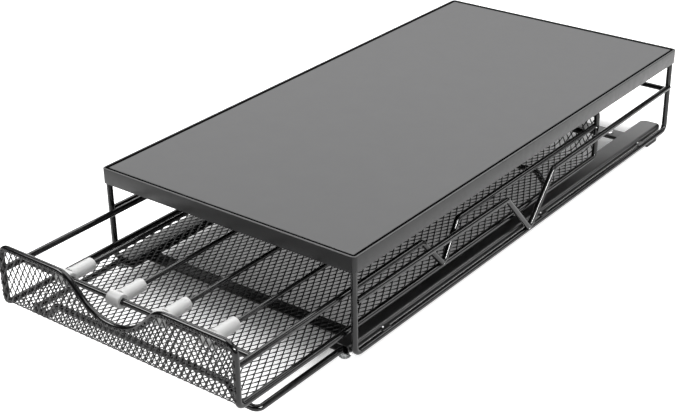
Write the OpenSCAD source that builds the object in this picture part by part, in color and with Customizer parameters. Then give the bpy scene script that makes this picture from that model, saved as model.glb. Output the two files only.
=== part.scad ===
// Coffee pod drawer: a low wire stand with a flat steel top, and a mesh drawer that slides in it.
// Capsules hang by their rims between four divider wires that slide sideways.
// X runs across, Y runs from the front to the back, and Z is up from the counter.
// The origin is under the middle of the stand and its pulled-out drawer.

/* [Stand] */
// Width of the stand over its top
stand_w = 200; // [180:1:260]
// Length of the stand, front to back
stand_l = 400; // [380:1:480]
// Height of the stand over its feet
stand_h = 69; // [66:0.5:90]
// Diameter of every frame wire
wire_d = 4; // [3:0.1:5]
// Radius of the bend between a leg and its bottom rail
leg_bend_r = 5; // [4:0.5:8]
// Height that the rubber feet lift the bottom rails
foot_lift = 1.6; // [1:0.1:3]

/* [Top] */
// Thickness of the rim's sheet
rim_t = 1; // [0.8:0.1:1.5]
// Height of the rim's side wall
rim_h = 10.5; // [9:0.5:16]
// Radius of the rim's upright corners
rim_corner_r = 3; // [2:0.5:6]
// Width of the lip that folds over the rim's top
lip_w = 1.4; // [1.2:0.1:4]
// Width of the ledge that carries the panel, measured from the rim's outside
ledge_w = 10; // [6:0.5:20]
// Thickness of the top panel
panel_t = 1.2; // [0.8:0.1:2]
// Open line between the panel and the lip
panel_gap = 1.6; // [0.3:0.1:2.4]
// Depth of the panel below the lip
panel_drop = 0.3; // [0:0.1:1]

/* [Side rails] */
// Height of the middle rails at the legs
mid_rail_z = 39.1; // [36:0.1:44]
// Height of the middle rails at the brace
brace_top_z = 37.6; // [34:0.1:43]
// Distance from the stand's front to the middle of the brace
brace_y = 194.5; // [150:0.5:240]
// Distance between the upper bends of the brace
brace_w = 59; // [40:1:90]
// Radius of the brace's upper bends
brace_bend_r = 4; // [3:0.5:6]
// Radius of the bend at a brace's tip
tip_bend_r = 3; // [2.6:0.1:5]
// Distance that the middle rails stand outside the legs' middle
mid_rail_out = 1; // [0:0.1:1.5]
// Height of the wire that ties the rear legs
rear_tie_z = 36.6; // [30:0.1:45]
// Depth to which welded wires are pressed into each other
weld_sink = 1.2; // [0.2:0.1:1.6]

/* [Slide channels] */
// Thickness of the channels, tabs and strips
sheet_t = 0.8; // [0.6:0.1:1.2]
// Width of a channel
channel_w = 14.4; // [12:0.1:20]
// Outer radius of the bends between a channel's wall and its flanges
channel_bend_r = 2.2; // [1.4:0.1:2.3]
// Distance from the stand's front to the channels
channel_front = 1; // [0:0.5:6]
// Distance from the channels to the stand's back
channel_rear = 6; // [5:0.5:20]
// Radius of a channel's inner corners at its back end
channel_corner_r = 5; // [1:0.5:8]
// Open space between a channel and its bottom rail
channel_gap = 0.6; // [0.3:0.1:1.5]
// Running clearance above and below a runner wire
slide_gap = 0.3; // [0.3:0.05:0.6]
// Sideways clearance between a runner wire and its channel
side_play = 2; // [0.5:0.1:2.5]
// Length of a tab that joins a channel to its rail
tab_l = 8; // [5:0.5:12]
// Distance from the stand's front to the front tabs
tab_front = 34; // [20:0.5:60]
// Distance from the brace's middle to the middle tabs behind it
tab_behind_brace = 21.5; // [12:0.5:40]
// Distance from the stand's back to the rear tabs
tab_rear = 42; // [20:0.5:60]
// Distance from the stand's front to the front strip
front_strip_y = 15.5; // [11:0.5:40]
// Width of the front strip
front_strip_w = 11; // [8:0.5:20]
// Length that the front strip reaches under each channel
front_strip_lap = 4; // [2:0.5:8]
// Distance from the stand's back to the front edge of the rear strip
rear_strip_from_back = 48; // [40:0.5:70]
// Width of the rear strip
rear_strip_w = 12.5; // [8:0.5:20]
// Height of the rear strip's folded lip
strip_lip_h = 2.4; // [1.6:0.1:5]
// Diameter of the heads of the stop screws
screw_head_d = 7; // [4:0.5:8]
// Height of the heads of the stop screws
screw_head_h = 1.8; // [1:0.1:3]
// Diameter of the stop screws' shanks
screw_d = 3; // [2:0.5:4]
// Distance from a stop screw to the strip's end
screw_inset = 10; // [6:0.5:20]

/* [Feet] */
// Length of a rubber foot
foot_l = 15; // [8:1:25]
// Width of a rubber foot
foot_w = 3.6; // [3:0.1:4.4]
// Height to which a foot grips its rail
foot_grip = 0.9; // [0.4:0.1:1.4]
// Distance from the stand's back to a foot
foot_inset = 18.5; // [10:0.5:40]
// Diameter of a clear pad under a channel
pad_d = 8; // [5:0.5:10]
// Distance from the stand's front to the middle of a clear pad
pad_y = 2; // [1:0.5:8]

/* [Drawer] */
// Distance that the drawer is pulled out
drawer_out = 95; // [0:1:95]
// Clearance between the drawer's braces and the legs
side_gap = 0.4; // [0.3:0.05:1]
// Distance from the stand's front to the closed drawer
front_recess = 1.2; // [0.5:0.1:4]
// Clearance between the closed drawer and the rear tie
rear_gap = 2.2; // [1:0.1:6]
// Height of the drawer's bottom rails
rail_z = 17.4; // [15:0.1:24]
// Height of the drawer's side wires and cross wires
side_z = 41.1; // [39:0.1:46]
// Distance that the side wires stand inside the bottom rails
side_inset = 1.5; // [1:0.1:2]
// Distance that a brace's tip leans outside its bottom rail
tip_lean = 1.1; // [0.5:0.1:1.5]
// Distance between the upper bends of a drawer brace
drawer_brace_w = 38.8; // [25:0.1:55]
// Clearance between the drawer's top and the rim
top_gap = 0.7; // [0.5:0.1:3]
// Radius of the upper corners of the drawer's end wires
end_corner_r = 7; // [4:0.5:12]
// Radius of the bends at the ends of the bottom rails
rail_bend_r = 4; // [3:0.5:6]
// Height of the bottom rails' turned-up ends
rail_end_h = 6; // [5:0.5:10]

/* [Finger dip] */
// Half of the dip's width at the drawer's top
dip_half_w = 36; // [30:1:50]
// Slope of the dip's sides, in degrees
dip_slope = 45; // [30:1:50]
// Radius of the dip's bottom
dip_r = 35; // [20:1:40]
// Radius of the dip's shoulders
shoulder_r = 16; // [8:1:20]

/* [Mesh] */
// Thickness of the expanded mesh
mesh_t = 0.8; // [0.5:0.1:1.2]
// Width of a mesh opening's repeat
mesh_w = 13.5; // [9:0.5:20]
// Length of a mesh opening's repeat
mesh_l = 24; // [12:1:32]
// Width of a mesh strand
strand_w = 2.4; // [1:0.1:4]
// Width of the plain border of a mesh panel
mesh_edge = 3; // [1:0.5:6]

/* [Runner loop] */
// Radius of the loop's flat corners
loop_corner_r = 4; // [3:0.5:12]
// Distance from a runner wire to the foot of its ramp
ramp_start = 13.6; // [13:0.1:18]
// Length of a ramp, measured across
ramp_w = 8; // [6:0.5:12]
// Radius of a ramp's bends
ramp_bend_r = 4; // [3:0.5:5]
// Distance from a ramp's foot to the weld in the loop
ramp_lead = 2.6; // [2.2:0.1:3]
// Distance from the drawer's front wire to the loop
loop_front = 17; // [10:0.5:30]
// Gap between the closed loop and the rear strip
stop_gap = 0.5; // [0.3:0.1:3]

/* [Dividers] */
// Places of the dividers, from the middle
divider_x = [-52.5, -10.8, 24.5, 60.5];
// Diameter of a divider wire
divider_d = 3; // [2:0.1:4]
// Distance from a drawer end wire to its divider cross wire
cross_inset = 14; // [10:0.5:20]
// Diameter of a clip's hub round the cross wire
hub_d = 9; // [7:0.1:12]
// Length of a clip's hub along the cross wire
hub_l = 10; // [8:0.5:16]
// Running clearance round the cross wire
hub_gap = 0.08; // [0.03:0.01:0.1]
// Diameter of a clip's sleeve
sleeve_d = 8.2; // [6:0.1:11]
// Length of a clip's sleeve, from the cross wire's middle
sleeve_l = 20.5; // [16:0.5:32]
// Distance from the cross wire's middle to the divider wire's end
divider_start = 8; // [6:0.5:12]

/* [Hidden] */
$fn = 32;
left = -1;
right = 1;
wire_black = "#202022";
sheet_black = "#3a3a3d";
top_grey = "#77787a";
clip_white = "#e4e4e2";
rubber_black = "#161616";
clear_white = "#dfe4e6";
wire_r = wire_d / 2;
screw_crown = 0.6;
least_corner_r = 0.3;

// Allowances: how far a cut runs past what it cuts, how far a braced wire's straights end inside
// its bends, and how much thinner they then are, as a share of that length
cut_over = 1;
bend_lap = 0.1;
lap_thinning = 0.2;

// Stand: places of its wires and sheets
leg_x = stand_w / 2 - rim_t - wire_r;
leg_front_y = rim_t + wire_r;
leg_rear_y = stand_l - rim_t - wire_r;
stand_rail_z = foot_lift + wire_r;
ledge_top_z = stand_h - panel_drop - panel_t;
leg_top_z = ledge_top_z - rim_t;
mid_rail_x = leg_x + mid_rail_out;
brace_tip_z = stand_rail_z + weld_rise(mid_rail_out);
channel_out_x = leg_x - wire_r - channel_gap;
channel_in_x = channel_out_x - channel_w;
runner_x = channel_out_x - sheet_t - side_play - wire_r;
runner_z = stand_rail_z + wire_r;
channel_h = wire_d + 2 * (slide_gap + sheet_t);
channel_low_z = runner_z - channel_h / 2;
channel_top_z = channel_low_z + channel_h;
channel_end_y = stand_l - channel_rear;
tab_z = stand_rail_z + wire_r;
tab_y = [tab_front, brace_y + tab_behind_brace, stand_l - tab_rear];
rear_strip_y = stand_l - rear_strip_from_back;
foot_rear_y = stand_l - foot_inset - foot_l;

// Drawer: places of its wires and panels
front_y = front_recess + mesh_t + wire_r - drawer_out;
rear_y = leg_rear_y - wire_r - rear_gap - mesh_t - wire_r - drawer_out;
tip_x = leg_x - wire_d - side_gap;
rail_x = tip_x - tip_lean;
side_x = rail_x - side_inset;
drawer_top_z = stand_h - rim_h - top_gap - wire_r;
drawer_tip_z = rail_z + weld_rise(tip_lean);
rail_end_z = rail_z + rail_end_h;
dip_vertex_z = drawer_top_z - dip_half_w * tan(dip_slope);
floor_low_z = rail_z - mesh_t / 2;
floor_half_w = rail_x - wire_r;
mesh_front_y = front_y - wire_r - mesh_t;
mesh_back_y = rear_y + wire_r + mesh_t;
loop_z = floor_low_z - wire_r;
loop_front_y = front_y + loop_front;
loop_rear_y = rear_strip_y - stop_gap - wire_r - drawer_out;
ramp_foot_x = runner_x - ramp_start;
ramp_top_x = ramp_foot_x - ramp_w;
loop_join_x = ramp_foot_x + ramp_lead;
front_rod_y = front_y + cross_inset;
rear_rod_y = rear_y - cross_inset;

// The middle of the whole length, with the drawer pulled out
middle_y = (stand_l + min(0, mesh_front_y)) / 2;

// Height of a brace's tip above the wire that it is welded to, when it stands aside by x
function weld_rise(x) = sqrt((wire_d - weld_sink) * (wire_d - weld_sink) - x * x);

// Unit vector along v
function unit(v) = v / norm(v);

// Direction from a to b in a wire's plane, as an angle from the second axis towards the first
function heading(a, b) = atan2(b[0] - a[0], b[1] - a[1]);

// Angle through which a wire turns at b, from -180 to 180
function turn(a, b, c) =
    let (t = heading(b, c) - heading(a, b)) t > 180 ? t - 360 : t < -180 ? t + 360 : t;

// Length that a bend takes off the straights on both its sides
function bend_cut(a, b, c, r) = r * tan(abs(turn(a, b, c)) / 2);

// Corner of the straights that meet at a brace's tip, so that the bent wire reaches the tip
function brace_corner(a, tip, c) =
    let (middle = (a + c) / 2, depth = norm(tip - middle), half = norm(c - a) / 2)
    tip + tip_bend_r * (1 / cos(atan(depth / half)) - 1) * unit(tip - middle);

// Wire route that dips to a brace's tip between two bends
function brace_route(from, a, tip, c, to) = [from, a, brace_corner(a, tip, c), c, to];

// Corners of an end wire in its own plane, as x and z
function end_corners(half_w, low_z, top_z) =
    [[-half_w, low_z], [-half_w, top_z], [half_w, top_z], [half_w, low_z]];

// Corners of the front wire in its own plane, with the finger dip
function front_corners(half_w, low_z, top_z, dip_z) = [
    [-half_w, low_z], [-half_w, top_z], [-dip_half_w, top_z], [0, dip_z],
    [dip_half_w, top_z], [half_w, top_z], [half_w, low_z]
];

// Points of a flat corner rounded to r
function corner_arc(a, b, c, r, steps = 12) =
    let (
        u = unit(b - a),
        w = unit(c - b),
        side = u[0] * w[1] - u[1] * w[0] > 0 ? 1 : -1,
        half_turn = acos(u * w) / 2,
        start = b - r * tan(half_turn) * u,
        centre = start + r * side * [-u[1], u[0]]
    )
    [for (i = [0 : steps])
        let (t = side * 2 * half_turn * i / steps, p = start - centre)
        centre + [p[0] * cos(t) - p[1] * sin(t), p[0] * sin(t) + p[1] * cos(t)]];

// Flat outline with its inner corners rounded, each to its own radius
function rounded(corners, radii) = [
    corners[0],
    for (i = [1 : len(corners) - 2])
        each corner_arc(corners[i - 1], corners[i], corners[i + 1], radii[i - 1]),
    corners[len(corners) - 1]
];

// Sets its child in place, with the origin under the middle of the whole length
module placed() {
    translate([0, -middle_y, 0]) children();
}

// Straight round wire from a to b, along one of the axes
module straight(a, b, d) {
    along = unit(b - a);
    translate(a) rotate([-90 * along[1], 90 * along[0], 0]) mirror([0, 0, along[2] < 0 ? 1 : 0])
        cylinder(h = norm(b - a), d = d);
}

// Round wire in the plane of X and Z along points p, with a bend radius for each inner point.
// With a lap, its straights are a hair thinner than its bends and end inside them.
module bent_wire(p, radii, lap = 0) {
    last = len(p) - 1;
    cuts = [for (i = [0 : last]) i == 0 || i == last ? 0
        : bend_cut(p[i - 1], p[i], p[i + 1], radii[i - 1])];
    lengths = [for (i = [0 : last - 1]) norm(p[i + 1] - p[i]) - cuts[i] - cuts[i + 1]];
    turns = [for (i = [1 : last - 1]) turn(p[i - 1], p[i], p[i + 1])];
    translate([p[0][0], 0, p[0][1]]) rotate([0, heading(p[0], p[1]), 0])
        wire_run(lengths, turns, radii, lap);
}

// Straight i of a wire along Z, then its bend, then all that follows
module wire_run(lengths, turns, radii, lap, i = 0) {
    lap_before = i > 0 ? lap : 0;
    lap_after = i < len(turns) ? lap : 0;
    translate([0, 0, -lap_before])
        cylinder(h = lap_before + lengths[i] + lap_after, d = wire_d - lap * lap_thinning);
    if (i < len(turns)) {
        to_centre = [sign(turns[i]) * radii[i], 0, 0];
        translate([0, 0, lengths[i]] + to_centre) {
            mirror([turns[i] > 0 ? 1 : 0, 0, 0]) rotate([90, 0, 0])
                rotate_extrude(angle = abs(turns[i])) translate([radii[i], 0]) circle(d = wire_d);
            rotate([0, turns[i], 0]) translate(-to_centre)
                wire_run(lengths, turns, radii, lap, i + 1);
        }
    }
}

// Puts a wire of the X and Z plane into an upright plane that runs from front to back
module lengthwise(x) {
    translate([x, 0, 0]) rotate([0, 0, 90]) children();
}

// Flat rectangle round the origin, with rounded corners
module rounded_rectangle(w, l, r) {
    square([w - 2 * r, l], center = true);
    square([w, l - 2 * r], center = true);
    for (x = [-1, 1], y = [-1, 1])
        translate([x * (w / 2 - r), y * (l / 2 - r)]) circle(r);
}

// Outline of the stand's top, drawn in by inset
module top_outline(inset) {
    corner_r = max(rim_corner_r - inset, least_corner_r);
    translate([0, stand_l / 2])
        rounded_rectangle(stand_w - 2 * inset, stand_l - 2 * inset, corner_r);
}

// Flat ring between two insets of the stand's outline
module top_ring(outer, inner) {
    difference() {
        top_outline(outer);
        top_outline(inner);
    }
}

// Diamond openings over a width and a length, in rows that are set off by half a step
module diamonds(w, l) {
    columns = ceil(w / mesh_w) + 1;
    rows = ceil(l / mesh_l) + 1;
    stretch = mesh_l / mesh_w;
    half_w = mesh_w / 2 - strand_w * sqrt(1 + 1 / (stretch * stretch)) / 2;
    for (row = [-rows : rows], column = [-ceil(columns / 2) : ceil(columns / 2)])
        translate([(column + (row % 2 == 0 ? 0 : 0.5)) * mesh_w, row * mesh_l / 2])
            polygon([[-half_w, 0], [0, -half_w * stretch], [half_w, 0], [0, half_w * stretch]]);
}

// Upright flat sheet: its child's x and y become x and z, and it starts at y
module upright(y, t) {
    translate([0, y + t, 0]) rotate([90, 0, 0]) linear_extrude(t) children();
}

// Top panel, lying on the rim's ledge
module top_panel() {
    color(top_grey)
        translate([0, 0, ledge_top_z]) linear_extrude(panel_t) top_outline(lip_w + panel_gap);
}

// Folded rim: side wall, lip over the top and ledge under the panel
module top_rim() {
    color(sheet_black) {
        translate([0, 0, stand_h - rim_h]) linear_extrude(rim_h) top_ring(0, rim_t);
        translate([0, 0, stand_h - rim_t]) linear_extrude(rim_t) top_ring(0, lip_w);
        translate([0, 0, leg_top_z]) linear_extrude(rim_t) top_ring(0, ledge_w);
    }
}

// One wire bent into two legs and a bottom rail
module side_frame(side) {
    color(wire_black) lengthwise(side * leg_x) bent_wire([
        [leg_front_y, leg_top_z], [leg_front_y, stand_rail_z],
        [leg_rear_y, stand_rail_z], [leg_rear_y, leg_top_z]
    ], [leg_bend_r, leg_bend_r]);
}

// Straight part of a leg, to shape what is welded to it
module leg_core(x, y) {
    straight([x, y, stand_rail_z + leg_bend_r], [x, y, leg_top_z], wire_d);
}

// Straight part of a stand's bottom rail, to shape what is welded to it
module stand_rail_core(side) {
    straight([side * leg_x, leg_front_y + leg_bend_r, stand_rail_z],
             [side * leg_x, leg_rear_y - leg_bend_r, stand_rail_z], wire_d);
}

// Middle rail, with the brace that drops to the bottom rail
module mid_rail(side) {
    color(wire_black) difference() {
        lengthwise(side * mid_rail_x) bent_wire(brace_route(
            [leg_front_y, mid_rail_z],
            [brace_y - brace_w / 2, brace_top_z],
            [brace_y, brace_tip_z],
            [brace_y + brace_w / 2, brace_top_z],
            [leg_rear_y, mid_rail_z]
        ), [brace_bend_r, tip_bend_r, brace_bend_r], bend_lap);
        leg_core(side * leg_x, leg_front_y);
        leg_core(side * leg_x, leg_rear_y);
        stand_rail_core(side);
    }
}

// Wire between the two rear legs
module rear_tie_wire() {
    color(wire_black) difference() {
        straight([-leg_x, leg_rear_y, rear_tie_z], [leg_x, leg_rear_y, rear_tie_z], wire_d);
        leg_core(-leg_x, leg_rear_y);
        leg_core(leg_x, leg_rear_y);
    }
}

// Sheet channel, open towards the middle, that a runner wire slides in
module channel(side) {
    color(sheet_black) on_side(side) difference() {
        translate([0, channel_end_y, runner_z]) rotate([90, 0, 0])
            linear_extrude(channel_end_y - channel_front) difference() {
                channel_section(channel_in_x, 0);
                channel_section(channel_in_x - cut_over, sheet_t);
            }
        translate([channel_in_x, channel_end_y, channel_low_z - cut_over]) corner_cut();
    }
}

// Filled section of a channel from x to its wall, with round outer corners, drawn in by inset
module channel_section(x, inset) {
    bend_x = channel_out_x - channel_bend_r;
    bend_z = channel_h / 2 - channel_bend_r;
    translate([x, inset - channel_h / 2]) square([bend_x - x, channel_h - 2 * inset]);
    translate([x, -bend_z]) square([channel_out_x - inset - x, 2 * bend_z]);
    for (z = [-bend_z, bend_z])
        translate([bend_x, z]) circle(channel_bend_r - inset);
}

// What rounds an inner corner at the back end of a channel off
module corner_cut() {
    linear_extrude(channel_h + 2 * cut_over) difference() {
        translate([-cut_over, -channel_corner_r])
            square([channel_corner_r + cut_over, channel_corner_r + cut_over]);
        translate([channel_corner_r, -channel_corner_r]) circle(channel_corner_r);
    }
}

// Draws its child on the right, or mirrored on the left
module on_side(side) {
    if (side == right) children();
    else mirror([1, 0, 0]) children();
}

// Tab from a channel's wall to the top of its bottom rail
module tab(side, y) {
    inner = min(side * channel_out_x, side * (leg_x + sheet_t));
    color(sheet_black) translate([inner, y - tab_l / 2, tab_z])
        cube([leg_x + sheet_t - channel_out_x, tab_l, sheet_t]);
}

// Flat strip under the channels, near the front
module front_strip() {
    half_w = channel_in_x + front_strip_lap;
    color(sheet_black) translate([-half_w, front_strip_y, channel_low_z - sheet_t])
        cube([2 * half_w, front_strip_w, sheet_t]);
}

// Strip between the channels' tops, with a folded lip that stops the drawer
module rear_strip() {
    color(sheet_black) difference() {
        translate([-channel_in_x, rear_strip_y, channel_top_z]) union() {
            translate([0, 0, -sheet_t]) cube([2 * channel_in_x, rear_strip_w, sheet_t]);
            translate([0, 0, -strip_lip_h]) cube([2 * channel_in_x, sheet_t, strip_lip_h]);
        }
        for (side = [left, right])
            translate([side * (channel_in_x - screw_inset), rear_strip_y + rear_strip_w / 2,
                       channel_top_z - sheet_t - cut_over])
                cylinder(h = sheet_t + 2 * cut_over, d = screw_d);
    }
}

// Round-headed screw in the rear strip
module stop_screw(side) {
    head_r = screw_head_d / 2;
    color(clear_white)
        translate([side * (channel_in_x - screw_inset), rear_strip_y + rear_strip_w / 2, 0]) {
            translate([0, 0, channel_top_z - sheet_t]) cylinder(h = sheet_t, d = screw_d);
            translate([0, 0, channel_top_z]) cylinder(h = screw_head_h / 2, r = head_r);
            translate([0, 0, channel_top_z + screw_head_h / 2])
                cylinder(h = screw_head_h / 2, r1 = head_r, r2 = head_r * screw_crown);
        }
}

// Rubber foot that grips the underside of a bottom rail, near the back
module foot(side) {
    color(rubber_black) difference() {
        translate([side * leg_x - foot_w / 2, foot_rear_y, 0])
            cube([foot_w, foot_l, foot_lift + foot_grip]);
        stand_rail_core(side);
    }
}

// Clear stick-on pad under the front of a channel
module clear_pad(side) {
    color(clear_white) translate([side * (channel_out_x - pad_d / 2), pad_y, 0])
        cylinder(h = channel_low_z, d = pad_d);
}

// Wire round the drawer's front, with the finger dip
module front_outline_wire() {
    color(wire_black) translate([0, front_y, 0]) bent_wire(
        front_corners(rail_x, rail_end_z, drawer_top_z, dip_vertex_z),
        [end_corner_r, shoulder_r, dip_r, shoulder_r, end_corner_r], bend_lap);
}

// Flat outline of the front mesh, drawn in by inset
module front_mesh_outline(inset) {
    polygon(rounded(
        front_corners(rail_x - inset, floor_low_z + mesh_t + inset, drawer_top_z - inset,
                      dip_vertex_z - inset),
        [end_corner_r - inset, shoulder_r, dip_r, shoulder_r, end_corner_r - inset]));
}

// Expanded mesh on the front of the drawer's front wire
module front_mesh() {
    color(wire_black) upright(mesh_front_y, mesh_t) difference() {
        front_mesh_outline(0);
        intersection() {
            front_mesh_outline(mesh_edge);
            translate([0, rail_z]) diamonds(2 * rail_x, drawer_top_z);
        }
    }
}

// Expanded mesh that the drawer stands on, between its bottom rails
module floor_mesh() {
    length = mesh_back_y - mesh_front_y;
    color(wire_black) translate([0, mesh_front_y + length / 2, floor_low_z]) linear_extrude(mesh_t)
        difference() {
            square([2 * floor_half_w, length], center = true);
            intersection() {
                square([2 * (floor_half_w - mesh_edge), length - 2 * mesh_edge], center = true);
                diamonds(2 * floor_half_w, length);
            }
        }
}

// Wire round the drawer's back
module rear_outline_wire() {
    color(wire_black) translate([0, rear_y, 0])
        bent_wire(end_corners(rail_x, rail_end_z, drawer_top_z), [end_corner_r, end_corner_r]);
}

// Flat outline of the rear mesh, drawn in by inset
module rear_mesh_outline(inset) {
    polygon(rounded(
        end_corners(rail_x - inset, floor_low_z + mesh_t + inset, drawer_top_z - inset),
        [end_corner_r - inset, end_corner_r - inset]));
}

// Expanded mesh on the back of the drawer's rear wire
module rear_mesh() {
    color(wire_black) upright(mesh_back_y - mesh_t, mesh_t) difference() {
        rear_mesh_outline(0);
        intersection() {
            rear_mesh_outline(mesh_edge);
            translate([0, rail_z]) diamonds(2 * rail_x, drawer_top_z);
        }
    }
}

// Bottom rail of the drawer, turned up at both ends
module bottom_rail(side) {
    color(wire_black) lengthwise(side * rail_x) bent_wire([
        [front_y, rail_end_z], [front_y, rail_z], [rear_y, rail_z], [rear_y, rail_end_z]
    ], [rail_bend_r, rail_bend_r]);
}

// Upright straight part of a drawer end wire, to shape what is welded to it
module post_core(side, y) {
    straight([side * rail_x, y, rail_end_z], [side * rail_x, y, drawer_top_z - end_corner_r], wire_d);
}

// Side wire of the drawer, with the brace that leans out to the bottom rail
module side_wire(side) {
    y = brace_y - drawer_out;
    out = tip_x - side_x;
    down = side_z - drawer_tip_z;
    color(wire_black) difference() {
        translate([side * side_x, 0, side_z]) rotate([0, -side * atan2(out, down), 0])
            lengthwise(0) bent_wire(brace_route(
                [front_y, 0],
                [y - drawer_brace_w / 2, 0],
                [y, -norm([out, down])],
                [y + drawer_brace_w / 2, 0],
                [rear_y, 0]
            ), [brace_bend_r, tip_bend_r, brace_bend_r], bend_lap);
        post_core(side, front_y);
        post_core(side, rear_y);
        straight([side * rail_x, front_y + rail_bend_r, rail_z],
                 [side * rail_x, rear_y - rail_bend_r, rail_z], wire_d);
    }
}

// Side of the runner loop, which slides in its channel and turns in at both ends
module runner(side) {
    color(wire_black) translate([0, 0, runner_z]) rotate([-90, 0, 0]) bent_wire([
        [side * loop_join_x, loop_front_y], [side * runner_x, loop_front_y],
        [side * runner_x, loop_rear_y], [side * loop_join_x, loop_rear_y]
    ], [loop_corner_r, loop_corner_r]);
}

// End of the runner loop, which ramps up and is welded under the floor mesh
module loop_wire(y) {
    color(wire_black) translate([0, y, 0]) bent_wire([
        [-loop_join_x, runner_z], [-ramp_foot_x, runner_z], [-ramp_top_x, loop_z],
        [ramp_top_x, loop_z], [ramp_foot_x, runner_z], [loop_join_x, runner_z]
    ], [ramp_bend_r, ramp_bend_r, ramp_bend_r, ramp_bend_r]);
}

// Rod that the divider clips slide on, between the side wires
module divider_rod(y) {
    color(wire_black) difference() {
        straight([-side_x, y, side_z], [side_x, y, side_z], wire_d);
        for (side = [left, right])
            straight([side * side_x, y - wire_d, side_z], [side * side_x, y + wire_d, side_z], wire_d);
    }
}

// Wire of a divider, held in a clip at each end
module divider_wire(x) {
    color(wire_black) straight([x, front_rod_y + divider_start, side_z],
                               [x, rear_rod_y - divider_start, side_z], divider_d);
}

// Plastic clip of a divider: a hub round the rod and a sleeve towards the other end
module clip(x, rod_y, towards) {
    color(clip_white) difference() {
        union() {
            straight([x - hub_l / 2, rod_y, side_z], [x + hub_l / 2, rod_y, side_z], hub_d);
            straight([x, rod_y, side_z], [x, rod_y + towards * sleeve_l, side_z], sleeve_d);
        }
        straight([x - hub_l, rod_y, side_z], [x + hub_l, rod_y, side_z], wire_d + 2 * hub_gap);
        straight([x, rod_y + towards * divider_start, side_z],
                 [x, rod_y + towards * (sleeve_l + cut_over), side_z], divider_d);
    }
}

module front_clip(x) { clip(x, front_rod_y, 1); }

module rear_clip(x) { clip(x, rear_rod_y, -1); }

placed() top_panel();
placed() top_rim();
placed() side_frame(left);  // left_side_frame
placed() side_frame(right);  // right_side_frame
placed() mid_rail(left);  // left_mid_rail
placed() mid_rail(right);  // right_mid_rail
placed() rear_tie_wire();
placed() channel(left);  // left_channel
placed() channel(right);  // right_channel
placed() tab(left, tab_y[0]);  // left_tab_front
placed() tab(left, tab_y[1]);  // left_tab_middle
placed() tab(left, tab_y[2]);  // left_tab_rear
placed() tab(right, tab_y[0]);  // right_tab_front
placed() tab(right, tab_y[1]);  // right_tab_middle
placed() tab(right, tab_y[2]);  // right_tab_rear
placed() front_strip();
placed() rear_strip();
placed() stop_screw(left);  // left_stop_screw
placed() stop_screw(right);  // right_stop_screw
placed() foot(left);  // left_rear_foot
placed() foot(right);  // right_rear_foot
placed() clear_pad(left);  // clear_pad_left
placed() clear_pad(right);  // clear_pad_right
placed() front_outline_wire();
placed() front_mesh();
placed() floor_mesh();
placed() rear_outline_wire();
placed() rear_mesh();
placed() bottom_rail(left);  // left_bottom_rail
placed() bottom_rail(right);  // right_bottom_rail
placed() side_wire(left);  // left_side_wire
placed() side_wire(right);  // right_side_wire
placed() runner(left);  // left_runner
placed() runner(right);  // right_runner
placed() loop_wire(loop_front_y);  // front_loop_wire
placed() loop_wire(loop_rear_y);  // rear_loop_wire
placed() divider_rod(front_rod_y);  // front_divider_rod
placed() divider_rod(rear_rod_y);  // rear_divider_rod
placed() divider_wire(divider_x[0]);  // divider_1_wire
placed() front_clip(divider_x[0]);  // divider_1_front_clip
placed() rear_clip(divider_x[0]);  // divider_1_rear_clip
placed() divider_wire(divider_x[1]);  // divider_2_wire
placed() front_clip(divider_x[1]);  // divider_2_front_clip
placed() rear_clip(divider_x[1]);  // divider_2_rear_clip
placed() divider_wire(divider_x[2]);  // divider_3_wire
placed() front_clip(divider_x[2]);  // divider_3_front_clip
placed() rear_clip(divider_x[2]);  // divider_3_rear_clip
placed() divider_wire(divider_x[3]);  // divider_4_wire
placed() front_clip(divider_x[3]);  // divider_4_front_clip
placed() rear_clip(divider_x[3]);  // divider_4_rear_clip
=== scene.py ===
"""Coffee pod drawer: the looks of its wires, sheets, mesh and clips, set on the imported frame.

Places and sizes are in millimetres in the stand's own frame: x from the middle, y from the
stand's front, z from the counter. at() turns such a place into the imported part's frame, in
metres. The names and numbers follow the part's solids, and what only the looks need is added.
"""

import math

import bmesh
import bpy
from mathutils import Matrix, Vector

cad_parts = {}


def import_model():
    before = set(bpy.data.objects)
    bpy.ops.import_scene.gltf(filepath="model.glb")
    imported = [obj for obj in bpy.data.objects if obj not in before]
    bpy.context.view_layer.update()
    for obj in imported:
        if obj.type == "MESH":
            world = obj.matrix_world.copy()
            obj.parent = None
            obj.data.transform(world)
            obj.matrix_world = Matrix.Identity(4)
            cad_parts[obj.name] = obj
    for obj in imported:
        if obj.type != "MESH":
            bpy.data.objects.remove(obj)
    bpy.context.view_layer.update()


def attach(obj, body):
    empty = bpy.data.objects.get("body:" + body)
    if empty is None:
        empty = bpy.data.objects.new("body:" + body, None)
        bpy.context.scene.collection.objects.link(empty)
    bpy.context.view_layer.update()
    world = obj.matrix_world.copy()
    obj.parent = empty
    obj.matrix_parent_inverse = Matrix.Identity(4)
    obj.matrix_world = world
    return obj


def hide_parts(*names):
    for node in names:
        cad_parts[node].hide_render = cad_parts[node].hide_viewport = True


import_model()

MM = 0.001
SIDES = {"left": -1, "right": 1}

# Stand as a whole, and the middle of the part's length with the drawer pulled out
STAND_W, STAND_L, STAND_H = 200, 400, 69
MIDDLE_Y = 153.1
WIRE_D = 4

# Stand: folded rim with its lip and ledge, panel, and the seam between them
RIM_H, RIM_T, RIM_R, INNER_CORNER_R = 10.5, 1.0, 3, 0.4
RIM_EDGE_R, LIP_EDGE_R = 0.4, 0.2
LIP_W, LEDGE_W, LEDGE_TOP_Z = 1.3, 10.0, 67.5
PANEL_INSET, PANEL_DROP, PANEL_EDGE_R = 3.3, 0.3, 0.3
PANEL_TOP_Z = STAND_H - PANEL_DROP
SEAM_DROP, SEAM_PLAY = 0.08, 0.02

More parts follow.
